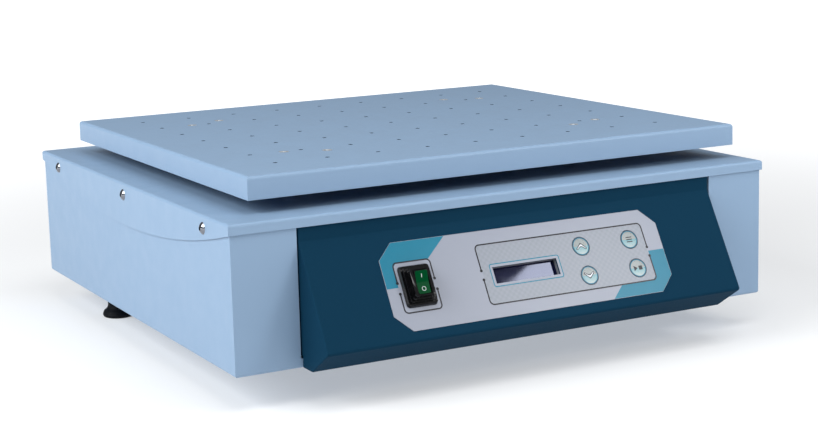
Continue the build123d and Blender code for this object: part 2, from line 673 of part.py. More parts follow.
def motor_shaft():
    return rod(0, MOTOR_Y, MOTOR_SHAFT_LOW + 0.5, BELT_TOP + 1.5, MOTOR_SHAFT_R - RUNNING)


def motor_pulley():
    low, top = BELT_LOW - 0.8, BELT_TOP + 0.8
    pulley = rod(0, MOTOR_Y, low, top, DRIVE_R)
    pulley += rod(0, MOTOR_Y, low - 0.8, low, DRIVE_R + 2.6)
    pulley += rod(0, MOTOR_Y, low - 6, low - 0.8, 9)
    return pulley - rod(0, MOTOR_Y, low - 7, top + 1, MOTOR_SHAFT_R - RUNNING)


# ---------------------------------------------------------------- platform
PLATFORM_SCREWS = ((167.4, 111.3), (131.9, 127.0))      # one corner's pair; mirrored to the others
SCREW_HEAD_R = 4.6
SCREW_NECK_R = 2.6
CARRIER_SCREW_R = 2.1
HOUSING_LOW = 140.6
CORNER_BEARING = (143.0, 151.0)
CENTRE_BEARING = (141.6, 152.6)
ARM_WIDTH = 56.0


def on_platform(shape):
    """Move a shape drawn about the platform's centre to where the platform stands at rest."""
    return Pos(ORBIT_X, ORBIT_Y, 0) * shape


def mirrored(points):
    """Every point and its mirror images in the platform's two middle lines."""
    return [(sx * x, sy * y) for x, y in points for sx in (-1, 1) for sy in (-1, 1)]


def hole_grid():
    columns = [HOLE_PITCH_X * (i - (HOLE_COLUMNS - 1) / 2) for i in range(HOLE_COLUMNS)]
    rows = [HOLE_PITCH_Y * (i - (HOLE_ROWS - 1) / 2) for i in range(HOLE_ROWS)]
    return [(x, y) for x in columns for y in rows]


def platform_tray():
    """Folded tray, open below, with the grid of tapped holes and eight countersinks."""
    rim = PLATFORM_TOP - PLATFORM_EDGE
    shell = folded_tray(PLATFORM_WIDTH, PLATFORM_DEPTH, -PLATFORM_TOP, -rim, PLATFORM_SHEET, PLATFORM_BEND)
    shell = Rot(180, 0, 0) * shell
    holes = [rod(x, y, PLATFORM_UNDER - 1, PLATFORM_TOP + 1, HOLE_R) for x, y in hole_grid()]
    sink = Cone(SCREW_NECK_R + RUNNING, SCREW_HEAD_R + RUNNING, PLATFORM_SHEET)
    holes += [Pos(x, y, PLATFORM_TOP - PLATFORM_SHEET / 2) * sink for x, y in mirrored(PLATFORM_SCREWS)]
    return on_platform(shell - holes)


def platform_carrier():
    """Cross-shaped plate that spreads the drive to the platform's four corners."""
    reach = hypot(CRANK_X, CRANK_Y)
    tilt = degrees(atan2(CRANK_Y, CRANK_X))
    outline = Circle(52)
    for angle in (tilt, -tilt):
        outline += Rot(0, 0, angle) * SlotCenterToCenter(2 * reach, ARM_WIDTH)
    plate = slab(outline, CARRIER_LOW, PLATFORM_UNDER)
    low, top = CARRIER_LOW - 1, PLATFORM_UNDER + 1
    holes = [rod(0, 0, low, top, 16)]
    holes += [rod(x, y, low, top, HOLE_R + 0.5) for x, y in hole_grid()]
    holes += [rod(x, y, low, top, CARRIER_SCREW_R + 0.1) for x, y in mirrored(PLATFORM_SCREWS)]
    return on_platform(plate - holes)


def carrier_housings():
    """Flanged housings under the carrier: one for the eccentric pin, four for the idler pins."""
    centre = tube(0, 0, HOUSING_LOW, CARRIER_LOW, 28, 17.5)
    centre += tube(0, 0, HOUSING_LOW, CENTRE_BEARING[0], 28, 14)
    housings = [centre]
    (xa, ya), (xb, yb) = PLATFORM_SCREWS
    for sx, sy in ((1, 1), (-1, 1), (1, -1), (-1, -1)):
        x, y = sx * CRANK_X, sy * CRANK_Y
        ears = make_hull(
            (Pos(sx * xa, sy * ya) * Circle(6)).edges()
            + (Pos(sx * xb, sy * yb) * Circle(6)).edges()
            + (Pos(x, y) * Circle(18)).edges()
        )
        body = slab(ears, CARRIER_LOW - 5, CARRIER_LOW) + rod(x, y, HOUSING_LOW, CARRIER_LOW, 17)
        body -= rod(x, y, CORNER_BEARING[0], CARRIER_LOW + 1, 13)
        body -= rod(x, y, HOUSING_LOW - 1, CARRIER_LOW, 10)
        for px, py in PLATFORM_SCREWS:
            body -= rod(sx * px, sy * py, CARRIER_LOW - 6, CARRIER_LOW + 1, CARRIER_SCREW_R + 0.1)
        housings.append(body)
    return [on_platform(body) for body in housings]


def carrier_bearings():
    bearings = [ball_bearing(0, 0, *CENTRE_BEARING, 17.5, MAIN_PIN_R)]
    bearings += [ball_bearing(x, y, *CORNER_BEARING, 13, IDLER_PIN_R) for x, y in CORNERS.values()]
    return [on_platform(body) for body in bearings]


def platform_screws():
    """Countersunk screws, flush with the platform, with a hexagonal socket."""
    head = Pos(0, 0, -PLATFORM_SHEET / 2) * Cone(SCREW_NECK_R, SCREW_HEAD_R, PLATFORM_SHEET)
    socket = Pos(0, 0, -1.5) * extrude(RegularPolygon(1.75, 6), 2)
    screw = head - socket + rod(0, 0, -11.5, -PLATFORM_SHEET, CARRIER_SCREW_R)
    return [on_platform(Pos(x, y, PLATFORM_TOP) * screw) for x, y in mirrored(PLATFORM_SCREWS)]


# ---------------------------------------------------------------- electrics
def power_supply():
    """Metal-cased switching supply on the casing's floor, with a terminal block at one end."""
    case = block(-165, -67, -60, 84, SHEET + 4, 45)
    case = fillet(case.edges().filter_by(Axis.Z), 1)
    case += block(-160, -72, 84, 98, SHEET + 4, 22)
    for row in range(6):
        case -= Pos(-116, -42 + row * 18, 45) * extrude(SlotOverall(70, 4), 1, both=True)
    return case


BOARD_LEVEL = 14.0


def control_board():
    """Motor controller board with its heat sink, relay and capacitors."""
    board = slab(Pos(112, -35) * RectangleRounded(100, 140, 3), BOARD_LEVEL, BOARD_LEVEL + 1.6)
    top = BOARD_LEVEL + 1.6
    for x, y in board_holes():
        board -= rod(x, y, BOARD_LEVEL - 1, top + 1, 1.7)
    board += block(76, 100, -90, -40, top, top + 4)
    for fin in range(5):
        board += block(76 + fin * 5.5, 78 + fin * 5.5, -90, -40, top + 4, top + 24)
    for y in (-20, 0, 20):
        board += rod(140, y, top, top + 22, 8)
    board += block(112, 140, -92, -72, top, top + 16)
    board += block(75, 100, -20, 15, top, top + 12)
    return board


def board_holes():
    return [(112 + sx * 45, -35 + sy * 65) for sx in (-1, 1) for sy in (-1, 1)]


def board_spacers():
    """Threaded pillars under the controller board and feet under the power supply."""
    pillars = [tube(x, y, SHEET, BOARD_LEVEL, 4, 1.6) for x, y in board_holes()]
    return pillars + [rod(x, y, SHEET, SHEET + 4, 5) for x in (-155, -77) for y in (-50, 74)]


INLET_CAVITY = (24.4, 16.6, 16.5)   # socket recess, wide, high and deep
INLET_CAVITY_UP = 6.5               # its centre above the inlet's centre
DRAWER = (21.6, 8.6, 20.0)          # fuse drawer, wide, high and deep
DRAWER_DOWN = 11.6
DRAWER_GAP = 0.2


def at_inlet(x, up, y0, y1, wide, high):
    """A block beside the inlet's centre, between two depths measured out from the rear wall."""
    cx, cz = INLET_X + x, INLET_Z + up
    return block(cx - wide / 2, cx + wide / 2, BACK_Y + y0, BACK_Y + y1, cz - high / 2, cz + high / 2)


def power_inlet():
    """Three-pin mains inlet with a flange, a socket recess and a slot for the fuse drawer."""
    flange = at_inlet(0, 0, 0, INLET_PROUD, 50, 44)
    flange = fillet(flange.edges().filter_by(Axis.Y), 4)
    wide, high = INLET_BODY
    body = flange + at_inlet(0, 0, -26, 0, wide - 0.6, high - 0.6)
    cavity_w, cavity_h, cavity_d = INLET_CAVITY
    cavity = at_inlet(0, INLET_CAVITY_UP, INLET_PROUD - cavity_d, INLET_PROUD + 1, cavity_w, cavity_h)
    upper = cavity.edges().filter_by(Axis.Y).group_by(Axis.Z)[-1]
    body -= chamfer(upper, 4)
    slot_w, slot_h, slot_d = DRAWER
    body -= at_inlet(0, -DRAWER_DOWN, INLET_PROUD - slot_d - 2, INLET_PROUD + 1,
                     slot_w + 2 * DRAWER_GAP, slot_h + 2 * DRAWER_GAP)
    for x in (-20, 20):
        body -= Pos(INLET_X + x, BACK_Y, INLET_Z) * Rot(90, 0, 0) * Cylinder(1.7, 20)
    return body


def inlet_pins():
    """Earth, line and neutral blades standing in the recess and out behind as terminals."""
    depth = INLET_PROUD - INLET_CAVITY[2]
    pins = []
    for x, up in ((0, 2.0), (-7.0, -2.0), (7.0, -2.0)):
        pins.append(at_inlet(x, INLET_CAVITY_UP + up, depth, depth + 11, 2.0, 4.0))
        pins.append(at_inlet(x, INLET_CAVITY_UP + up, -34, -26, 0.8, 4.8))
    return pins


def fuse_drawer():
    """Pull-out fuse carrier with a finger ledge and a cradle for the fuse."""
    wide, high, deep = DRAWER
    body = at_inlet(0, -DRAWER_DOWN, INLET_PROUD - deep, INLET_PROUD, wide, high)
    body -= at_inlet(0, -DRAWER_DOWN + 1.2, INLET_PROUD - deep - 1, INLET_PROUD - 4, wide - 2.4, 6.4)
    return body - at_inlet(0, -DRAWER_DOWN + 2.2, INLET_PROUD - 1.6, INLET_PROUD + 1, 12, 3.4)


def fuse():
    """Glass cartridge fuse lying across the drawer."""
    cx, cz = INLET_X, INLET_Z - DRAWER_DOWN + 1.2
    return Pos(cx, BACK_Y + INLET_PROUD - 9, cz) * Rot(0, 90, 0) * Cylinder(2.6, 18.6)


CABLE_R = 3.2


def mains_lead():
    """From the inlet's terminals, along the rear wall and round the motor, to the supply."""
    points = [
        (INLET_X, BACK_Y - 36, INLET_Z + 4),
        (INLET_X - 3, BACK_Y - 43, 42),
        (INLET_X - 37, BACK_Y - 32, 15),
        (40, BACK_Y - 30, 9),
        (-60, BACK_Y - 32, 8),
        (-118, BACK_Y - 70, 9),
        (-116, 99, 12),
    ]
    return cable(points, [12, 18, 30, 40, 30], CABLE_R)


def switch_lead():
    """From the power switch's terminals down into the casing and back to the supply."""
    points = [
        (SWITCH_X, FRONT_Y + 10, 48),
        (SWITCH_X - 2, FRONT_Y + 40, 30),
        (SWITCH_X + 4, FRONT_Y + 95, 14),
        (-118, -100, 12),
        (-116, -61, 16),
    ]
    return cable(points, [20, 40, 15], CABLE_R)


def motor_lead():
    """From the motor's lower end forward and across to the controller board."""
    points = [
        (MOTOR_R + 1, MOTOR_Y - 6, 26),
        (62, MOTOR_Y - 14, 16),
        (88, 92, 9),
        (94, 60, 12),
        (90, 37, 20),
        (90, 16, 22),
    ]
    return cable(points, [14, 22, 18, 12], CABLE_R)


def display_ribbon():
    """Flat cable from the keypad board down to the controller board."""
    start = on_slope(Pos(70, -74, BOARD_TOP - BOARD_T) * Vertex(0, 0, 0)).center()
    y0, z0 = start.Y + 2, start.Z
    outline = make_face(Polyline(
        (y0, z0), (y0 + 60, 30), (-106, 30), (-106, 31), (y0 + 60, 31), (y0 + 1.2, z0 + 1), close=True))
    return Pos(120, 0, 0) * along_x(outline, 25)


# ---------------------------------------------------------------- feet
def foot(x, y):
    """Levelling foot: a bulged rubber base and neck moulded on a threaded stud."""
    with BuildSketch(Plane.XZ) as profile:
        with BuildLine():
            Line((0, 0), (FOOT_R - 2.3, 0))
            ThreePointArc((FOOT_R - 2.3, 0), (FOOT_R - 0.4, 1.0), (FOOT_R, 3.0))
            ThreePointArc((FOOT_R, 3.0), (FOOT_R - 0.7, 5.6), (FOOT_R - 2.8, 7.4))
            ThreePointArc((FOOT_R - 2.8, 7.4), (NECK_R + 0.9, 9.1), (NECK_R, 12.0))
            Line((NECK_R, 12.0), (NECK_R, FOOT_HEIGHT - 9))
            Line((NECK_R, FOOT_HEIGHT - 9), (NECK_R - 1, FOOT_HEIGHT - 8))
            Line((NECK_R - 1, FOOT_HEIGHT - 8), (0, FOOT_HEIGHT - 8))
            Line((0, FOOT_HEIGHT - 8), (0, 0))
        make_face()
    rubber = revolve(profile.sketch, Axis.Z)
    rubber -= rod(0, 0, 6, FOOT_HEIGHT, STUD_R - RUNNING)
    stud = rod(0, 0, 6, FOOT_HEIGHT + 18, STUD_R - RUNNING)
    return [Pos(x, y, -FOOT_HEIGHT) * piece for piece in (rubber, stud)]


def foot_nuts():
    """Hexagonal weld nuts on the casing's floor that the feet screw into."""
    nut = extrude(RegularPolygon(8.5, 6, major_radius=False), 8) - rod(0, 0, -1, 9, STUD_R)
    return [Pos(x, y, SHEET) * nut for x, y in FEET.values()]


# ---------------------------------------------------------------- write every node
save("base_tray", base_tray())
save("top_cover", top_cover())
save("cover_screws", *cover_screws())
save("shaft_seals", *shaft_seals())
save("console_shell", console_shell())
save("console_screws", *console_screws())
save("front_overlay", front_overlay())
for name, (key_x, key_down) in KEYS.items():
    save(name, key(key_x, key_down))
save("keypad_board", keypad_board())
save("tact_switches", *tact_switches())
save("display_bezel", display_bezel())
save("display_glass", display_glass())
save("display_board", display_board())
save("switch_guard", switch_guard())
save("power_rocker", power_rocker())
save("switch_body", switch_body())
save("chassis_plate", chassis_plate())
save("chassis_posts", *chassis_posts())
save("plate_screws", *plate_screws())
save("main_bearing_housing", main_bearing_housing())
save("main_bearings", *main_bearings())
save("corner_bearing_housings", *corner_bearing_housings())
save("corner_bearings", *corner_bearings())
save("motor_body", motor_body())
save("drive_belt", drive_belt())
save("speed_sensor", speed_sensor())
save("main_shaft", main_shaft())
save("driven_pulley", driven_pulley())
save("counterweight", counterweight())
save("eccentric_hub", eccentric_hub())
for corner, (corner_x, corner_y) in CORNERS.items():
    save(f"crank_{corner}", idler_crank(corner_x, corner_y))
save("motor_shaft", motor_shaft())
save("motor_pulley", motor_pulley())
save("platform_tray", platform_tray())
save("platform_carrier", platform_carrier())
save("carrier_housings", *carrier_housings())
save("carrier_bearings", *carrier_bearings())
save("platform_screws", *platform_screws())
save("power_supply", power_supply())
save("control_board", control_board())
save("board_spacers", *board_spacers())
save("power_inlet", power_inlet())
save("inlet_pins", *inlet_pins())
save("fuse_drawer", fuse_drawer())
save("fuse", fuse())
save("mains_lead", mains_lead())
save("switch_lead", switch_lead())
save("motor_lead", motor_lead())
save("display_ribbon", display_ribbon())
for corner, (foot_x, foot_y) in FEET.items():
    save(f"foot_{corner}", *foot(foot_x, foot_y))
save("foot_nuts", *foot_nuts())
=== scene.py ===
import json
from math import atan2, cos, hypot, pi, radians, sin

import bmesh
import bpy
from mathutils import Matrix, Vector


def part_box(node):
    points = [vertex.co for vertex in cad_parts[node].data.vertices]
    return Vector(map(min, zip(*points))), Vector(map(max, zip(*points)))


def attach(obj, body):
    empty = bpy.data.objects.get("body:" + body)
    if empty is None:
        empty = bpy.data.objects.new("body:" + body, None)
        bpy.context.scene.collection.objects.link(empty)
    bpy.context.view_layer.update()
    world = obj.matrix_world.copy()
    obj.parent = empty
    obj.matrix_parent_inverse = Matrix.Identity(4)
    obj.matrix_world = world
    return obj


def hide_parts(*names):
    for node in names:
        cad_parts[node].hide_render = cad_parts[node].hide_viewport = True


# Looks of an orbital shaker: finishes for every node, a finer switch, keys and feet, threads in
# the platform, the printed control panel, and a white studio. Lengths marked MM are millimetres
# on the object.
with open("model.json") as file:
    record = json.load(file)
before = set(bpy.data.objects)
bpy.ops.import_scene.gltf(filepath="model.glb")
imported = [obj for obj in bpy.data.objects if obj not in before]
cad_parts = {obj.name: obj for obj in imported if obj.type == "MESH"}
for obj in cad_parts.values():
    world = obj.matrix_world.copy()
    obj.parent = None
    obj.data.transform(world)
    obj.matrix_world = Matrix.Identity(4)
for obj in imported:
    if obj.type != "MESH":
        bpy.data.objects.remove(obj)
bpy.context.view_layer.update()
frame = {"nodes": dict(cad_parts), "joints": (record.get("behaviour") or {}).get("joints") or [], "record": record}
nodes = frame["nodes"]
joints = {joint["name"]: joint for joint in frame["joints"]}
bodies = frame["record"]["behaviour"]["bodies"]
slots = {part["node"]: part["material_slot"] for part in frame["record"]["subparts"]}
MM = 0.001

# ---------------------------------------------------------------- places taken from the frame
SHEET_T = 0.5               # thickness of the printed membrane
PANEL_OUT = -Vector(joints["key_up_press"]["axis"]).normalized()
PANEL_ACROSS = Vector((1, 0, 0))
PANEL_UP = PANEL_OUT.cross(PANEL_ACROSS)


def middle(node):
    low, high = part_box(node)
    return (low + high) / 2


def shifted(matrix, x, y, z=0.0):
    """A frame moved along its own axes, in millimetres."""
    return matrix @ Matrix.Translation(Vector((x, y, z)) * MM)


# The panel's own frame: u across, v up the slope, h out of the membrane's face
PANEL_MIDDLE = middle("front_overlay") + PANEL_OUT * SHEET_T / 2 * MM
PANEL = Matrix((PANEL_ACROSS, PANEL_UP, PANEL_OUT)).transposed().to_4x4()
PANEL = Matrix.Translation(PANEL_MIDDLE) @ PANEL


def on_panel(point):
    """A point in the panel's frame, in millimetres."""
    return PANEL.inverted() @ point / MM


def panel_box(node):
    """Lowest and highest corner of a node in the panel's frame, in millimetres."""
    corners = [on_panel(vertex.co) for vertex in nodes[node].data.vertices]
    return (
        Vector(min(corner[i] for corner in corners) for i in range(3)),
        Vector(max(corner[i] for corner in corners) for i in range(3)),
    )


sheet_high = panel_box("front_overlay")[1]
HALF_W, HALF_H = sheet_high.x, sheet_high.y


# ---------------------------------------------------------------- materials
def srgb(red, green, blue):
    """A colour given in 0 to 255 display values, as the linear values that shaders use."""
    linear = []
    for value in (red, green, blue):
        value /= 255
        linear.append(value / 12.92 if value <= 0.04045 else ((value + 0.055) / 1.055) ** 2.4)
    return (*linear, 1.0)


def shade(color, factor):
    return (*(channel * factor for channel in color[:3]), 1.0)


class Finish:
    """A Principled material and the node helpers that vary its colour, roughness and relief."""

    def __init__(self, name, color, roughness, metallic=0.0, **sockets):
        self.material = bpy.data.materials.new(name)
        self.material.use_nodes = True
        self.tree = self.material.node_tree
        self.shader = self.tree.nodes["Principled BSDF"]
        self.coords = self.tree.nodes.new("ShaderNodeTexCoord").outputs["Object"]
        self.color = color
        self.roughness = roughness
        self.shader.inputs["Base Color"].default_value = color
        self.shader.inputs["Roughness"].default_value = roughness
        self.shader.inputs["Metallic"].default_value = metallic
        for socket, value in sockets.items():
            self.shader.inputs[socket.replace("_", " ")].default_value = value

    def node(self, kind, inputs=None, **settings):
        made = self.tree.nodes.new(kind)
        for name, value in settings.items():
            setattr(made, name, value)
        for socket, value in (inputs or {}).items():
            if isinstance(value, bpy.types.NodeSocket):
                self.tree.links.new(value, made.inputs[socket])
            else:
                made.inputs[socket].default_value = value
        return made

    def math(self, operation, a, b=0.0, clamp=False):
        return self.node("ShaderNodeMath", {0: a, 1: b}, operation=operation, use_clamp=clamp).outputs[0]

    def noise(self, scale, detail=3.0, stretch=None):
        """Noise between 0 and 1 with about scale features to the metre; stretch scales each axis."""
        vector = self.coords
        if stretch:
            vector = self.node("ShaderNodeMapping", {"Vector": vector, "Scale": stretch}).outputs[0]
        inputs = {"Vector": vector, "Scale": scale, "Detail": detail}
        return self.node("ShaderNodeTexNoise", inputs).outputs["Fac"]

    def paint(self, color):
        """Link a colour socket to the shader."""
        self.tree.links.new(color, self.shader.inputs["Base Color"])
        return self

    def blend(self, amount, first, second):
        """Mix two colours or colour sockets by a 0 to 1 socket."""
        mix = self.node("ShaderNodeMix", {0: amount}, data_type="RGBA")
        for index, value in ((6, first), (7, second)):
            if isinstance(value, bpy.types.NodeSocket):
                self.tree.links.new(value, mix.inputs[index])
            else:
                mix.inputs[index].default_value = value
        return mix.outputs[2]

    def mottle(self, amount, scale, detail=3.0, stretch=None):
        """Vary the base colour by a share each way."""
        field = self.noise(scale, detail, stretch)
        return self.paint(self.blend(field, shade(self.color, 1 - amount), shade(self.color, 1 + amount)))

    def gloss(self, spread, scale, detail=3.0, stretch=None):
        """Vary the roughness each way."""
        inputs = {
            "Value": self.noise(scale, detail, stretch),
            "From Min": 0.3,
            "From Max": 0.7,
            "To Min": max(self.roughness - spread, 0.02),
            "To Max": self.roughness + spread,
        }
        spread_node = self.node("ShaderNodeMapRange", inputs)
        self.tree.links.new(spread_node.outputs[0], self.shader.inputs["Roughness"])
        return self

    def relief(self, *layers):
        """Add bumps: each layer is a height socket or a (scale, detail) noise, and its height in MM."""
        normal = None
        for source, height in layers:
            field = source if isinstance(source, bpy.types.NodeSocket) else self.noise(*source)
            inputs = {"Height": field, "Distance": height * MM, "Strength": 1.0}
            if normal:
                inputs["Normal"] = normal
            normal = self.node("ShaderNodeBump", inputs).outputs[0]
        self.tree.links.new(normal, self.shader.inputs["Normal"])
        return self


def powder_coat():
    """Pale blue powder coat with a fine orange peel."""
    coat = Finish("powder_coat", (0.225, 0.333, 0.476, 1), 0.46, Specular_IOR_Level=0.42)
    coat.mottle(0.012, 9, 5.0).gloss(0.05, 60)
    return coat.relief(((420, 2.0), 0.035), ((1700, 2.0), 0.018)).material


def console_paint():
    """Dark teal textured paint."""
    paint = Finish("console_paint", srgb(16, 50, 71), 0.5, Specular_IOR_Level=0.01)
    paint.mottle(0.12, 1300, 2.0).gloss(0.06, 900)
    return paint.relief(((900, 2.0), 0.05), ((300, 2.0), 0.02)).material


def membrane():
    """Printed polyester: lilac grey, with a fine satin grain."""
    film = Finish("membrane", (0.262, 0.284, 0.345, 1), 0.34, Specular_IOR_Level=0.35)
    film.mottle(0.015, 25, 4.0).gloss(0.05, 700)
    return film.relief(((2600, 2.0), 0.006)).material


def ink(name, color):
    """Screen-printed ink with the faint unevenness of a print."""
    print_ = Finish(name, color, 0.34, Specular_IOR_Level=0.25)
    print_.mottle(0.03, 120, 4.0).gloss(0.05, 700)
    return print_.relief(((2600, 2.0), 0.004)).material


def dotted_ink():
    """The grey field behind display and keys: soft staggered dots, two to a pitch."""
    field = Finish("dotted_ink", srgb(186, 196, 210), 0.36)
    spots = field.node("ShaderNodeSeparateXYZ", {0: field.coords})
    wave = 2 * pi / (DOT_PITCH * MM)
    across = field.math("SINE", field.math("MULTIPLY", spots.outputs[0], wave))
    up = field.math("SINE", field.math("MULTIPLY", spots.outputs[1], wave))
    dots = field.math("MULTIPLY_ADD", field.math("MULTIPLY", across, up), 0.5)
    dots.node.inputs[2].default_value = 0.5
    field.paint(field.blend(dots, srgb(124, 131, 142), srgb(132, 138, 149)))
    return field.gloss(0.05, 700).relief(((2600, 2.0), 0.004)).material


def key_print():
    """Key face: grey above the middle, teal below it that fades downwards."""
    face = Finish("key_print", srgb(160, 190, 192), 0.3, Coat_Weight=0.2, Coat_Roughness=0.2)
    height = face.node("ShaderNodeSeparateXYZ", {0: face.coords}).outputs[1]
    share = face.node("ShaderNodeMapRange", {"Value": height, "From Min": -8 * MM, "From Max": 8 * MM})
    ramp = face.node("ShaderNodeValToRGB", {0: share.outputs[0]})
    stops = ramp.color_ramp.elements
    stops[0].position, stops[0].color = 0.04, srgb(126, 144, 146)
    stops[1].position, stops[1].color = 1.0, srgb(108, 118, 118)
    for position, color in ((0.26, (92, 136, 142)), (0.48, (60, 124, 136)), (0.53, (106, 116, 116))):
        stops.new(position).color = srgb(*color)
    face.paint(ramp.outputs[0])
    return face.gloss(0.05, 700).relief(((2600, 2.0), 0.004)).material


def moulded(name, color, roughness, peel=0.01, **sockets):
    """Moulded plastic: a slight flow mottle and a fine skin."""
    plastic = Finish(name, color, roughness, **sockets)
    plastic.mottle(0.06, 160, 4.0).gloss(roughness * 0.3, 500)
    return plastic.relief(((1500, 3.0), peel)).material


def rubber(name, color, roughness=0.62):
    """Matt rubber with a bloom of paler dust."""
    skin = Finish(name, color, roughness, Specular_IOR_Level=0.12)
    dust = skin.noise(220, 6.0)
    skin.paint(skin.blend(dust, color, shade(color, 1.8)))
    return skin.gloss(0.08, 400).relief(((1800, 3.0), 0.03)).material


def metal(name, color, roughness, stretch=None, scale=900, height=0.006):
    """Bare metal; a stretch draws its noise out into machining or brushing lines."""
    bare = Finish(name, color, roughness, metallic=1.0)
    bare.mottle(0.05, scale / 3, 4.0, stretch).gloss(roughness * 0.35, scale, 4.0, stretch)
    grain = bare.noise(scale, 4.0, stretch)
    return bare.relief((grain, height)).material


def cast_metal():
    """Cast aluminium: sandy skin with darker pores."""
    cast = Finish("cast_metal", srgb(176, 179, 183), 0.5, metallic=1.0)
    cast.mottle(0.12, 700, 6.0).gloss(0.12, 500)
    return cast.relief(((900, 5.0), 0.06)).material


def glass(name, color, roughness, **sockets):
    """Glass or a display face, with faint smears in its polish."""
    pane = Finish(name, color, roughness, **sockets)
    pane.mottle(0.1, 90, 4.0).gloss(roughness * 0.35, 60, 5.0)
    return pane.relief(((40, 2.0), 0.004)).material


def circuit_board():
    """Green solder mask with the faint relief of its tracks."""
    mask = Finish("solder_mask", srgb(20, 92, 52), 0.35, Coat_Weight=0.3, Coat_Roughness=0.2)
    cells = mask.node("ShaderNodeTexBrick", {"Vector": mask.coords, "Scale": 60.0})
    cells.inputs["Color1"].default_value = srgb(18, 88, 50)
    cells.inputs["Color2"].default_value = srgb(24, 98, 58)
    cells.inputs["Mortar"].default_value = srgb(48, 128, 80)
    mask.paint(cells.outputs["Color"])
    return mask.gloss(0.08, 300).relief((cells.outputs["Fac"], 0.04)).material


DOT_PITCH = 5.6             # the dotted field's wave in MM, two rows of dots
MATERIALS = {
    "casing_paint": powder_coat(),
    "console_paint": console_paint(),
    "panel_print": membrane(),
    "key_print": key_print(),
    "collar_black": moulded("collar_black", srgb(4, 4, 6), 0.08, 0.003),
    "rocker_green": moulded("rocker_green", srgb(0, 64, 32), 0.25, 0.004, Specular_IOR_Level=0.04),
    "switch_nylon": moulded("switch_nylon", srgb(22, 22, 24), 0.45),
    "display_glass": glass("display_face", srgb(2, 4, 40), 0.05, Specular_Tint=(0.7, 0.76, 1.0, 1)),
    "display_frame": moulded("display_frame", srgb(120, 122, 132), 0.4),
    "circuit_board": circuit_board(),
    "bright_screw": metal("bright_screw", srgb(222, 224, 228), 0.13, scale=1400, height=0.003),
    "zinc_steel": metal("zinc_steel", srgb(190, 192, 196), 0.32, scale=300),
    "machined_steel": metal("machined_steel", srgb(196, 196, 198), 0.24, (1, 1, 14)),
    "bearing_steel": metal("bearing_steel", srgb(205, 205, 208), 0.18, (1, 1, 14)),
    "cast_aluminium": cast_metal(),
    "weight_iron": metal("weight_iron", srgb(92, 92, 96), 0.45, scale=500, height=0.02),
    "motor_paint": moulded("motor_enamel", srgb(28, 28, 31), 0.3, 0.02),
    "seal_rubber": rubber("seal_rubber", srgb(20, 20, 21)),
    "belt_rubber": rubber("belt_rubber", srgb(30, 30, 31), 0.7),
    "foot_rubber": rubber("foot_rubber", srgb(3, 5, 10), 0.55),
    "supply_case": metal("supply_case", srgb(198, 200, 204), 0.34, (1, 12, 1)),
    "inlet_black": moulded("inlet_black", srgb(18, 18, 20), 0.42),
    "pin_brass": metal("pin_brass", srgb(214, 196, 150), 0.25, scale=1500),
    "fuse_glass": glass("fuse_glass", srgb(200, 214, 216), 0.08, Transmission_Weight=0.8),
    "cable_black": moulded("cable_sheath", srgb(20, 20, 22), 0.5),
    "ribbon_grey": moulded("ribbon_grey", srgb(150, 152, 156), 0.5),
}


# ---------------------------------------------------------------- mesh helpers
def body_of(node):
    return next(name for name, members in bodies.items() if node in members)


def new_piece(name, mesh, like, matrix, material=None, replaces=()):
    """Show a mesh drawn in MM as a piece that rides with a CAD node and takes its slot's finish."""
    mesh.transform(Matrix.Scale(MM, 4))
    thing = bpy.data.objects.new(name, mesh)
    bpy.context.scene.collection.objects.link(thing)
    thing.matrix_world = matrix
    mesh.materials.clear()
    mesh.materials.append(material or MATERIALS[slots[like]])
    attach(thing, body_of(like))
    if replaces:
        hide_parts(*replaces)
    return thing


def smooth(mesh, angle=35):
    """Shade smooth, with edges sharper than an angle kept crisp."""
    mesh.shade_smooth()
    mesh.set_sharp_from_angle(angle=radians(angle))


def prism(loops, low, high):
    """A closed slab between two levels: the first loop is its outline, the others holes in it."""
    curve = bpy.data.curves.new("outline", "CURVE")
    curve.dimensions = "2D"
    curve.fill_mode = "BOTH"
    curve.extrude = (high - low) / 2
    for loop in loops:
        spline = curve.splines.new("POLY")
        spline.points.add(len(loop) - 1)
        for point, (x, y) in zip(spline.points, loop):
            point.co = (x, y, 0, 1)
        spline.use_cyclic_u = True
    holder = bpy.data.objects.new("outline", curve)
    mesh = bpy.data.meshes.new_from_object(holder)
    bpy.data.objects.remove(holder)
    bpy.data.curves.remove(curve)
    shape = bmesh.new()
    shape.from_mesh(mesh)
    bmesh.ops.remove_doubles(shape, verts=shape.verts, dist=1e-4)
    bmesh.ops.recalc_face_normals(shape, faces=shape.faces)
    bmesh.ops.translate(shape, verts=shape.verts, vec=(0, 0, (low + high) / 2))
    shape.to_mesh(mesh)
    shape.free()
    smooth(mesh)
    return mesh


def lathe(profile, turns=96):
    """A closed solid of revolution about Z from (radius, height) points that start and end on it."""
    shape = bmesh.new()
    rings = []
    for radius, height in profile:
        if radius < 1e-9:
            rings.append([shape.verts.new((0, 0, height))])
            continue
        steps = [2 * pi * i / turns for i in range(turns)]
        rings.append([shape.verts.new((radius * cos(a), radius * sin(a), height)) for a in steps])
    for below, above in zip(rings, rings[1:]):
        for i in range(turns):
            corners = [below[i % len(below)], below[(i + 1) % len(below)],
                       above[(i + 1) % len(above)], above[i % len(above)]]
            shape.faces.new(list(dict.fromkeys(corners)))
    bmesh.ops.recalc_face_normals(shape, faces=shape.faces)
    mesh = bpy.data.meshes.new("lathe")
    shape.to_mesh(mesh)
    shape.free()
    smooth(mesh)
    return mesh


def arc(x, y, radius, start, end, steps=8):
    """Points along an arc, angles in degrees."""
    angles = [radians(start + (end - start) * i / steps) for i in range(steps + 1)]
    return [(x + radius * cos(a), y + radius * sin(a)) for a in angles]


def circle(x, y, radius, steps=48):
    return arc(x, y, radius, 0, 360 * (steps - 1) / steps, steps - 1)


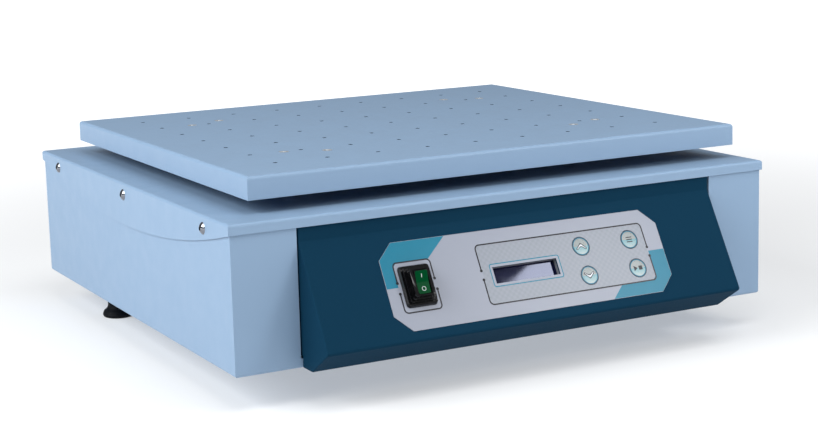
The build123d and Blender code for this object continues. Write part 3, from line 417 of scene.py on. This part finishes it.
def rounded(points, radii, closed=True):
    """A polyline with its corners rounded; radii is one number or one for each point."""
    count = len(points)
    radii = radii if hasattr(radii, "__len__") else [radii] * count
    path = []
    for i, (x, y) in enumerate(points):
        if radii[i] <= 0 or (not closed and i in (0, count - 1)):
            path.append((x, y))
            continue
        here = Vector((x, y))
        back = (Vector(points[i - 1]) - here).normalized()
        ahead = (Vector(points[(i + 1) % count]) - here).normalized()
        half = back.angle(ahead) / 2
        centre = here + (back + ahead).normalized() * radii[i] / sin(half)
        first = here + back * radii[i] / (sin(half) / cos(half)) - centre
        last = here + ahead * radii[i] / (sin(half) / cos(half)) - centre
        start, end = atan2(first.y, first.x), atan2(last.y, last.x)
        turn = (end - start + pi) % (2 * pi) - pi
        steps = 8
        for k in range(steps + 1):
            a = start + turn * k / steps
            path.append((centre.x + radii[i] * cos(a), centre.y + radii[i] * sin(a)))
    return path


def offset(path, distance, closed=True):
    """A polyline moved sideways, to its left for a positive distance."""
    count = len(path)
    moved = []
    for i, (x, y) in enumerate(path):
        before = path[i - 1] if closed or i > 0 else None
        after = path[(i + 1) % count] if closed or i < count - 1 else None
        sides = []
        for (xa, ya), (xb, yb) in ((before or (x, y), (x, y)), ((x, y), after or (x, y))):
            run = hypot(xb - xa, yb - ya)
            if run > 1e-9:
                sides.append(Vector((-(yb - ya) / run, (xb - xa) / run)))
        normal = sum(sides, Vector((0, 0))).normalized()
        reach = distance / max(normal.dot(sides[0]), 0.3)
        moved.append((x + normal.x * reach, y + normal.y * reach))
    return moved


def band(path, width, low, high, closed=True):
    """A printed line of a width along a path."""
    left, right = offset(path, width / 2, closed), offset(path, -width / 2, closed)
    if not closed:
        return prism([left + right[::-1]], low, high)
    outer, inner = sorted((left, right), key=lambda loop: -sum(hypot(x, y) for x, y in loop))
    return prism([outer, inner], low, high)


def joined(meshes):
    """One mesh from several."""
    shape = bmesh.new()
    for mesh in meshes:
        shape.from_mesh(mesh)
    made = bpy.data.meshes.new("joined")
    shape.to_mesh(made)
    shape.free()
    smooth(made)
    return made


def dress(node, width=0.0, segments=2, angle=40):
    """Give a CAD node its finish, and break its sharp edges by a small radius in MM."""
    thing = nodes[node]
    thing.data.materials.clear()
    thing.data.materials.append(MATERIALS[slots[node]])
    if not width:
        return
    weld = thing.modifiers.new("weld", "WELD")
    weld.merge_threshold = 0.002 * MM
    bevel = thing.modifiers.new("broken_edges", "BEVEL")
    bevel.width = width * MM
    bevel.segments = segments
    bevel.limit_method = "ANGLE"
    bevel.angle_limit = radians(angle)
    bevel.harden_normals = True
    bevel.use_clamp_overlap = True


# ---------------------------------------------------------------- CAD nodes that keep their shape
EDGES = {                   # radius of broken edges in MM; the rest keep the edges they have
    "switch_guard": 0.5,
    "power_inlet": 0.3,
    "fuse_drawer": 0.25,
}
for name in nodes:
    dress(name, EDGES.get(name, 0.0))
SATIN_SCREW = metal("satin_screw", srgb(246, 248, 250), 0.42, scale=1400)
DARK_SCREW = metal("dark_screw", srgb(132, 135, 142), 0.1, scale=1400, height=0.003)
nodes["platform_screws"].data.materials[0] = SATIN_SCREW
nodes["cover_screws"].data.materials[0] = DARK_SCREW


# ---------------------------------------------------------------- printed panel
INK_T = 0.03                # a layer of ink
CHAMFER = 14.5              # of the membrane's eight-sided outline
LINE = 1.25                 # width of the black lines
TEAL_INK = ink("teal_ink", srgb(10, 112, 138))
BLACK_INK = ink("black_ink", srgb(22, 22, 30))
WHITE_INK = ink("white_ink", srgb(225, 230, 236))
KEY_INK = ink("key_ring_ink", srgb(22, 62, 86))


def print_piece(name, mesh, material):
    return new_piece(name, mesh, "front_overlay", PANEL, material)


def bracket(left, right, end, top, radius):
    """A three-sided line with rounded corners and round dots on its two ends."""
    path = rounded([(left, end), (left, top), (right, top), (right, end)], radius, closed=False)
    parts = [band(path, LINE, INK_T, 2 * INK_T, closed=False)]
    parts += [prism([circle(x, end, 1.3, 24)], INK_T, 2 * INK_T) for x in (left, right)]
    return parts


# The switch's frame and the frame of display and keys, each open at mid-height on both sides
SWITCH_FRAME = (-129.8, -94.4, 20.9, -23.4)
FIELD_FRAME = (-48.5, 124.2, 26.7, -27.3)
frames = []
for (left, right, top, bottom), gap, radius in (
    (SWITCH_FRAME, (3.3, -6.2), 3.5),
    (FIELD_FRAME, (3.6, -4.6), 4.0),
):
    frames += bracket(left, right, gap[0], top, radius)
    frames += bracket(left, right, gap[1], bottom, radius)
print_piece("print_frames", joined(frames), BLACK_INK)

left, right, top, bottom = SWITCH_FRAME
EDGE = 0.25                 # ink stops short of the membrane's cut edge
corner_zone = [
    (left, top - 3.5), (left, -0.6), (-HALF_W + EDGE, -0.6),
    (-HALF_W + EDGE, HALF_H - CHAMFER), (-HALF_W + CHAMFER, HALF_H - EDGE),
    (-74.9, HALF_H - EDGE), (right - 1.2, top), (left + 3.5, top),
]
print_piece("print_teal_left", prism([corner_zone], 0, INK_T), TEAL_INK)
left, right, top, bottom = FIELD_FRAME
far_zone = [
    (right, 0), (HALF_W - EDGE, 0), (HALF_W - EDGE, -HALF_H + CHAMFER),
    (HALF_W - CHAMFER, -HALF_H + EDGE), (74.1, -HALF_H + EDGE), (86.5, bottom),
    (right - 4, bottom), (right, bottom + 4),
]
print_piece("print_teal_right", prism([far_zone], 0, INK_T), TEAL_INK)

KEYS = {name: on_panel(middle(name)) for name in ("key_up", "key_down", "key_set", "key_start")}
key_low, key_high = panel_box("key_up")
KEY_R = (key_high.x - key_low.x) / 2


def rectangle(x0, x1, y0, y1, radius=0.0):
    points = [(x0, y0), (x1, y0), (x1, y1), (x0, y1)]
    return rounded(points, radius) if radius else points


WINDOW_HALF = (32.5, 7.5)   # the window in the membrane
window = on_panel(middle("display_glass"))
WINDOW = (window.x - WINDOW_HALF[0], window.x + WINDOW_HALF[0],
          window.y - WINDOW_HALF[1], window.y + WINDOW_HALF[1])
OUTLINE_GAP = 2.6           # from the window to the teal line round it
OUTLINE_W = 0.9             # width of that line


def round_window(gap, radius):
    """A rounded rectangle round the window, with a gap between them."""
    return rectangle(WINDOW[0] - gap, WINDOW[1] + gap, WINDOW[2] - gap, WINDOW[3] + gap, radius)


outline = round_window(OUTLINE_GAP, 2.0)
print_piece("print_window_line", band(outline, OUTLINE_W, 0, INK_T), TEAL_INK)

INSET = 0.8                 # from the black frame to the dotted field
field = rectangle(left + INSET, right - INSET, bottom + INSET, top - INSET, 3.4)
holes = [round_window(OUTLINE_GAP - OUTLINE_W / 2, 1.6)]
holes += [circle(key.x, key.y, KEY_R + 0.3) for key in KEYS.values()]
print_piece("print_dotted_field", prism([field] + holes, 0, INK_T * 0.8), dotted_ink())


# ---------------------------------------------------------------- keys
FACE_H = key_high.z         # a key's face above the membrane
DARK_RING = (KEY_R - 0.15, KEY_R - 0.95)
BLUE_RING = (KEY_R - 0.95, KEY_R - 1.45)


def key_cap():
    """A round key on its square-shouldered stem, with a rolled rim and a faintly domed face."""
    rim = [(KEY_R, FACE_H - 0.45), (KEY_R - 0.08, FACE_H - 0.25), (KEY_R - 0.3, FACE_H - 0.12)]
    dome = [(KEY_R * s, FACE_H - 0.1 * s**4) for s in (0.9, 0.75, 0.5, 0.25)]
    foot = [(0, key_low.z), (2.0, key_low.z), (2.0, key_low.z + 2.0), (KEY_R, key_low.z + 2.0)]
    return lathe(foot + rim + dome + [(0, FACE_H)])


def ring(outer, inner, low, high):
    return prism([circle(0, 0, outer, 64), circle(0, 0, inner, 64)], low, high)


def chevron(sign, grow=0.0):
    """A wide open chevron that points up or down; grow makes it bolder on every side."""
    half = [(0.0, 2.5 + grow * 1.2), (1.0 + grow * 0.3, 1.9 + grow), (5.0 + grow, -2.2 + grow * 0.2)]
    half += [(4.4 + grow * 0.6, -2.7 - grow * 0.9), (1.2, -0.5 - grow), (0.0, -0.1 - grow)]
    outline = half + [(-x, y) for x, y in half[-2:0:-1]]
    return [(x, y * sign) for x, y in outline]


def menu_bars():
    return [rectangle(-3.1, 3.1, y - 0.45, y + 0.45, 0.3) for y in (-2.1, 0.0, 2.1)]


def run_and_stop():
    """A triangle and a square side by side."""
    return [[(-4.3, -2.5), (-0.5, 0.0), (-4.3, 2.5)], rectangle(0.8, 4.6, -1.9, 1.9, 0.3)]


for name, centre in KEYS.items():
    matrix = shifted(PANEL, centre.x, centre.y)
    new_piece(f"{name}_cap", key_cap(), name, matrix, replaces=(name,))
    new_piece(f"{name}_ring", ring(*DARK_RING, FACE_H - 0.3, FACE_H + 0.02), name, matrix, KEY_INK)
    new_piece(f"{name}_line", ring(*BLUE_RING, FACE_H - 0.2, FACE_H + 0.02), name, matrix, TEAL_INK)
    if name in ("key_up", "key_down"):
        sign = 1 if name == "key_up" else -1
        dark = prism([chevron(sign, 0.5)], FACE_H - 0.1, FACE_H + 0.02)
        white = prism([chevron(sign, -0.4)], FACE_H - 0.1, FACE_H + 0.04)
        new_piece(f"{name}_mark_edge", dark, name, matrix, BLACK_INK)
        new_piece(f"{name}_mark", white, name, matrix, WHITE_INK)
    else:
        shapes = menu_bars() if name == "key_set" else run_and_stop()
        marks = joined([prism([shape], FACE_H - 0.1, FACE_H + 0.02) for shape in shapes])
        new_piece(f"{name}_mark", marks, name, matrix, BLACK_INK)


# ---------------------------------------------------------------- power switch
ROCKER_R = 10.6             # from the pivot to the rocker's ends
VALLEY_H = 1.7              # middle of its dished top above the pivot
DISH_DEPTH = 1.3            # how much higher its ends are
LENS_LIFT = 0.12            # of the green lens above the black body


def dish(y):
    """Height of the rocker's dished top above its pivot."""
    return VALLEY_H + DISH_DEPTH * (abs(y) / ROCKER_R) ** 1.15


def swept(sections):
    """A closed solid through a row of outlines that all have the same number of points."""
    shape = bmesh.new()
    rows = [[shape.verts.new(point) for point in section] for section in sections]
    for here, there in zip(rows, rows[1:]):
        for i in range(len(here)):
            j = (i + 1) % len(here)
            shape.faces.new([here[i], here[j], there[j], there[i]])
    shape.faces.new(rows[0])
    shape.faces.new(rows[-1])
    bmesh.ops.recalc_face_normals(shape, faces=shape.faces)
    mesh = bpy.data.meshes.new("swept")
    shape.to_mesh(mesh)
    shape.free()
    smooth(mesh, 40)
    return mesh


def rocker_body():
    """Two-faced rocker with a dished top and round ends, drawn about its pivot."""
    half_w, steps = 6.25, 24
    ends = [(ROCKER_R * cos(radians(a)), ROCKER_R * sin(radians(a))) for a in (12, 4, -8, -20, -28)]
    span = [0.955 * ROCKER_R * (1 - 2 * i / steps) for i in range(steps + 1)]
    outline = ends[::-1] + [(y, dish(y)) for y in span] + [(-y, z) for y, z in ends]
    return swept([[(x, y, z) for y, z in outline] for x in (-half_w, half_w)])


def rocker_lens():
    """Green window let into the rocker's top and bent with it, with rounded corners."""
    half_w, half_l, corner, steps = 5.8, 9.8, 1.5, 64
    sections = []
    for i in range(steps + 1):
        y = half_l * (1 - 2 * i / steps)
        past = max(abs(y) - half_l + corner, 0.0)
        w = half_w - corner + max(corner**2 - past**2, 0.0) ** 0.5
        low, high = dish(y) - 0.6, dish(y) + LENS_LIFT
        sections.append([(-w, y, low), (w, y, low), (w, y, high), (-w, y, high)])
    return swept(sections)


TILT = radians(joints["rocker_tilt"]["range_deg"][1] / 2)
pivot = on_panel(Vector(joints["rocker_tilt"]["pos_m"]))
ROCKER = shifted(PANEL, *pivot) @ Matrix.Rotation(TILT, 4, "X")
ROCKER_BLACK = moulded("rocker_black", srgb(6, 6, 8), 0.14, 0.004)
button = new_piece("rocker_cap", rocker_body(), "power_rocker", ROCKER, ROCKER_BLACK, ("power_rocker",))
edge = button.modifiers.new("soft_edges", "BEVEL")
edge.width = 0.55 * MM
edge.segments = 3
edge.limit_method = "ANGLE"
edge.angle_limit = radians(40)
edge.harden_normals = True
new_piece("rocker_lens", rocker_lens(), "power_rocker", ROCKER)


def legend(name, loops, y, height):
    """A white mark lying on one face of the rocker, tilted with that face."""
    lean = atan2(dish(y) - dish(0), abs(y)) * (1 if y > 0 else -1)
    matrix = shifted(ROCKER, 0, y, dish(y) + LENS_LIFT) @ Matrix.Rotation(lean, 4, "X")
    return new_piece(name, prism(loops, -0.2, height), "power_rocker", matrix, WHITE_INK)


legend("rocker_mark_on", [rectangle(-0.2, 0.2, -1.6, 1.6, 0.15)], 5.6, 0.09)
legend("rocker_mark_off", [circle(0, 0, 1.9), circle(0, 0, 1.55)], -5.6, 0.09)


# ---------------------------------------------------------------- feet
NECK_R = 10.8
STUD_R = 4.95               # just inside the threaded insert


def foot_mesh(height, base_r, neck_r, stud_r, top):
    """Bulged rubber base with a ribbed flank, waisted neck and a threaded stud, in millimetres."""
    profile = [(0, 0), (base_r - 4.0, 0), (base_r - 3.6, 0.35), (base_r - 2.4, 0.35)]
    profile += arc(base_r - 2.6, 2.6, 2.6, -80, 35, 10)
    profile += [(base_r - 0.9, 4.6), (base_r - 0.9, 5.0), (base_r - 0.75, 5.2)]
    profile += [(base_r - 1.5, 6.4), (base_r - 2.8, 7.4)]
    flare = base_r - 2.8 - neck_r
    profile += [(neck_r + flare * (1 - s) ** 2.2, 7.4 + 4.8 * s) for s in (0.15, 0.3, 0.45, 0.6, 0.8, 1.0)]
    profile += [(neck_r, height - 9.6), (neck_r - 0.25, height - 8.6), (neck_r - 1.2, height - 8.0)]
    profile += [(stud_r + 0.4, height - 8.0)]
    pitch = 1.5
    turns = int((top - height + 8.0) / pitch)
    for i in range(turns):
        z = height - 8.0 + pitch * i
        profile += [(stud_r - 0.75, z + 0.1), (stud_r, z + pitch * 0.5), (stud_r - 0.75, z + pitch * 0.95)]
    profile += [(stud_r - 1.0, top), (0, top)]
    return lathe(profile, 72)


for name in [node for node in nodes if node.startswith("foot_") and node != "foot_nuts"]:
    low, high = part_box(name)
    spot = middle(name)
    base_r = (high.x - low.x) / 2 / MM - 0.05
    matrix = Matrix.Translation((spot.x, spot.y, low.z))
    floor_to_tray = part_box("base_tray")[0].z / MM
    mesh = foot_mesh(floor_to_tray, base_r, NECK_R, STUD_R, (high.z - low.z) / MM)
    new_piece(f"{name}_rubber", mesh, name, matrix, replaces=(name,))


# ---------------------------------------------------------------- threaded holes of the platform
HOLE_COUNT = (9, 7)
HOLE_PITCH = (50.0, 55.0)
THREAD_SPAN = (-1.4, -0.04)  # from below the sheet's face to just under it
THREAD_RING = (2.15, 2.08)  # a film on the wall of each 4.2 mm hole: outer and inner radius


def thread_rings():
    """Threads on the walls of the platform's holes, which keep their bore; their dark colour is painted shade
    inside the holes.
    """
    parts = []
    for column in range(HOLE_COUNT[0]):
        for row in range(HOLE_COUNT[1]):
            x = (column - (HOLE_COUNT[0] - 1) / 2) * HOLE_PITCH[0]
            y = (row - (HOLE_COUNT[1] - 1) / 2) * HOLE_PITCH[1]
            loops = [circle(x, y, radius) for radius in THREAD_RING]
            parts.append(prism(loops, *THREAD_SPAN))
    return joined(parts)


plate_middle = middle("platform_tray")
plate_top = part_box("platform_tray")[1].z
plate_face = Matrix.Translation((plate_middle.x, plate_middle.y, plate_top))
# painted shade: a dark blue-grey film on the hole walls, where shade falls, standing also for their bare threads
THREAD_PAINTED_SHADE = metal("thread_film_painted_shade", srgb(52, 66, 80), 0.5)
new_piece("platform_thread_painted_shade", thread_rings(), "platform_tray", plate_face, THREAD_PAINTED_SHADE)


# ---------------------------------------------------------------- studio
SHIFT_Y = (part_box("top_cover")[0].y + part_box("top_cover")[1].y) / 2
AIM = Vector((0, SHIFT_Y, 0.11345))     # the camera looks at the machine's main shaft
CAMERA_BACK = (-27.303, 10.2015)        # azimuth and elevation of the camera
CAMERA_FAR = 1.76487
CAMERA_LENS = 77.6                      # in MM, for a sensor 36 MM wide
CAMERA_SHIFT = (0.0314, -0.0176)
CAMERA_ROLL = -1.6706                   # in degrees
CARD_FAR = 1.2                          # from the display to its softbox
CARD_SIZE = (0.4, 0.3)
EDGE_LOW = (-17.0, -7.5)                # where the mirrored edge crosses the display,
EDGE_HIGH = (8.5, 7.5)                  # in MM from the display's middle
SKY_LOW, SKY_HIGH = 0.22, 0.32          # brightness near the horizon and overhead
# painted shade: the floor glows less under the machine, so a darker patch lies there
PAINTED_SHADE_FLOOR_GLOW = 0.36                       # under the machine; it rises to 1 further out


def direction(azimuth, elevation):
    """Unit vector from the object towards a viewer; azimuth 0 stands in front of it."""
    a, e = radians(azimuth), radians(elevation)
    return Vector((sin(a) * cos(e), -cos(a) * cos(e), sin(e)))


def facing(position, back):
    """Matrix of a camera or lamp at a position that looks against the back direction."""
    return Matrix.Translation(position) @ (-back).to_track_quat("-Z", "Y").to_matrix().to_4x4()


def add_object(name, data, matrix):
    thing = bpy.data.objects.new(name, data)
    bpy.context.scene.collection.objects.link(thing)
    thing.matrix_world = matrix
    return thing


def camera():
    data = bpy.data.cameras.new("camera")
    data.sensor_width = 36.0
    data.lens = CAMERA_LENS
    data.shift_x, data.shift_y = CAMERA_SHIFT
    data.clip_end = 50.0
    back = direction(*CAMERA_BACK)
    roll = Matrix.Rotation(radians(CAMERA_ROLL), 4, "Z")
    bpy.context.scene.camera = add_object("camera", data, facing(AIM + back * CAMERA_FAR, back) @ roll)


def area_light(name, size, power, matrix, color=(1, 1, 1)):
    data = bpy.data.lights.new(name, "AREA")
    data.shape = "RECTANGLE"
    data.size, data.size_y = size
    data.energy = power
    data.color = color
    return add_object(name, data, matrix)


def softbox(name, azimuth, elevation, distance, size, power, color=(1, 1, 1)):
    """A rectangular softbox that faces the machine."""
    back = direction(azimuth, elevation)
    return area_light(name, size, power, facing(AIM + back * distance, back), color)


def display_card(power):
    """A small softbox whose straight edge is mirrored slantwise across the display."""
    out = PANEL_OUT
    window_point = shifted(PANEL, *window).translation
    lens = AIM + direction(*CAMERA_BACK) * CAMERA_FAR
    mirrored = lens - out * (2 * (lens - window_point).dot(out))

    def on_card(u, v):
        """Where the sight line through a window point, in MM from its middle, meets the card."""
        through = window_point + (PANEL_ACROSS * u + PANEL_UP * v) * MM
        ray = through - mirrored
        return mirrored + ray * ((CARD_FAR + (window_point - mirrored).length) / ray.dot(axis))

    axis = (window_point - mirrored).normalized()
    along = (on_card(*EDGE_HIGH) - on_card(*EDGE_LOW)).normalized()
    side = along.cross(axis).normalized()
    if side.dot(PANEL_ACROSS) < 0:
        side = -side
    spot = (on_card(*EDGE_HIGH) + on_card(*EDGE_LOW)) / 2 + side * CARD_SIZE[1] / 2
    turn = Matrix((along, axis.cross(along), axis)).transposed().to_4x4()
    return area_light("display_softbox", CARD_SIZE, power, Matrix.Translation(spot) @ turn)


def sky():
    """White to the camera, and a softer sky, brighter overhead, on everything else."""
    world = bpy.data.worlds.new("studio")
    bpy.context.scene.world = world
    world.use_nodes = True
    tree = world.node_tree
    tree.nodes.clear()
    kinds = ("OutputWorld", "MixShader", "LightPath", "Background", "Background", "TexCoord", "SeparateXYZ")
    out, mix, path, light, white, coords, parts = [tree.nodes.new("ShaderNode" + kind) for kind in kinds]
    light.name = "sky_light"
    height = tree.nodes.new("ShaderNodeMapRange")
    height.name = "sky_height"
    height.interpolation_type = "SMOOTHSTEP"
    for socket, value in (("From Min", 0.1), ("From Max", 0.8), ("To Min", SKY_LOW), ("To Max", SKY_HIGH)):
        height.inputs[socket].default_value = value
    light.inputs[0].default_value = (0.96, 0.98, 1.0, 1.0)
    white.inputs[0].default_value = (1, 1, 1, 1)
    white.inputs[1].default_value = 1.05
    tree.links.new(coords.outputs["Generated"], parts.inputs[0])
    tree.links.new(parts.outputs[2], height.inputs["Value"])
    tree.links.new(height.outputs[0], light.inputs[1])
    tree.links.new(path.outputs["Is Camera Ray"], mix.inputs[0])
    tree.links.new(light.outputs[0], mix.inputs[1])
    tree.links.new(white.outputs[0], mix.inputs[2])
    tree.links.new(mix.outputs[0], out.inputs[0])


def floor():
    """A white floor: plain paper that also glows, a painted light that keeps shadows on it pale; the glow is lower
    under the machine, a painted shade there.
    """
    mesh = bpy.data.meshes.new("floor")
    reach = 14.0
    mesh.from_pydata([(-reach, -reach, 0), (reach, -reach, 0), (reach, reach, 0), (-reach, reach, 0)],
                     [], [(0, 1, 2, 3)])
    ground = add_object("floor", mesh, Matrix())
    paper = Finish("floor_paper_painted_light", (0.55, 0.555, 0.56, 1), 0.9, Specular_IOR_Level=0.1)
    paper.shader.inputs["Emission Color"].default_value = (0.985, 0.99, 1.0, 1)
    apart = paper.node("ShaderNodeVectorMath", {0: paper.coords}, operation="LENGTH").outputs["Value"]
    # painted light and shade: the glow grows with distance from the middle, dimmer under the machine
    glow = {"Value": apart, "From Min": 0.5, "From Max": 2.0, "To Min": PAINTED_SHADE_FLOOR_GLOW, "To Max": 1.0}
    glow = paper.node("ShaderNodeMapRange", glow, interpolation_type="SMOOTHSTEP").outputs[0]
    paper.tree.links.new(glow, paper.shader.inputs["Emission Strength"])
    paper.mottle(0.004, 2.0).relief(((40, 2.0), 0.02))
    mesh.materials.append(paper.material)


camera()
sky()
floor()
softbox("left_softbox", -84, 31, 2.4, (1.8, 1.4), 56, (0.97, 0.99, 1.0))
softbox("front_softbox", -4, 60, 2.4, (1.8, 1.2), 27)
display_card(5.0)
bpy.context.scene.view_settings.view_transform = "Standard"
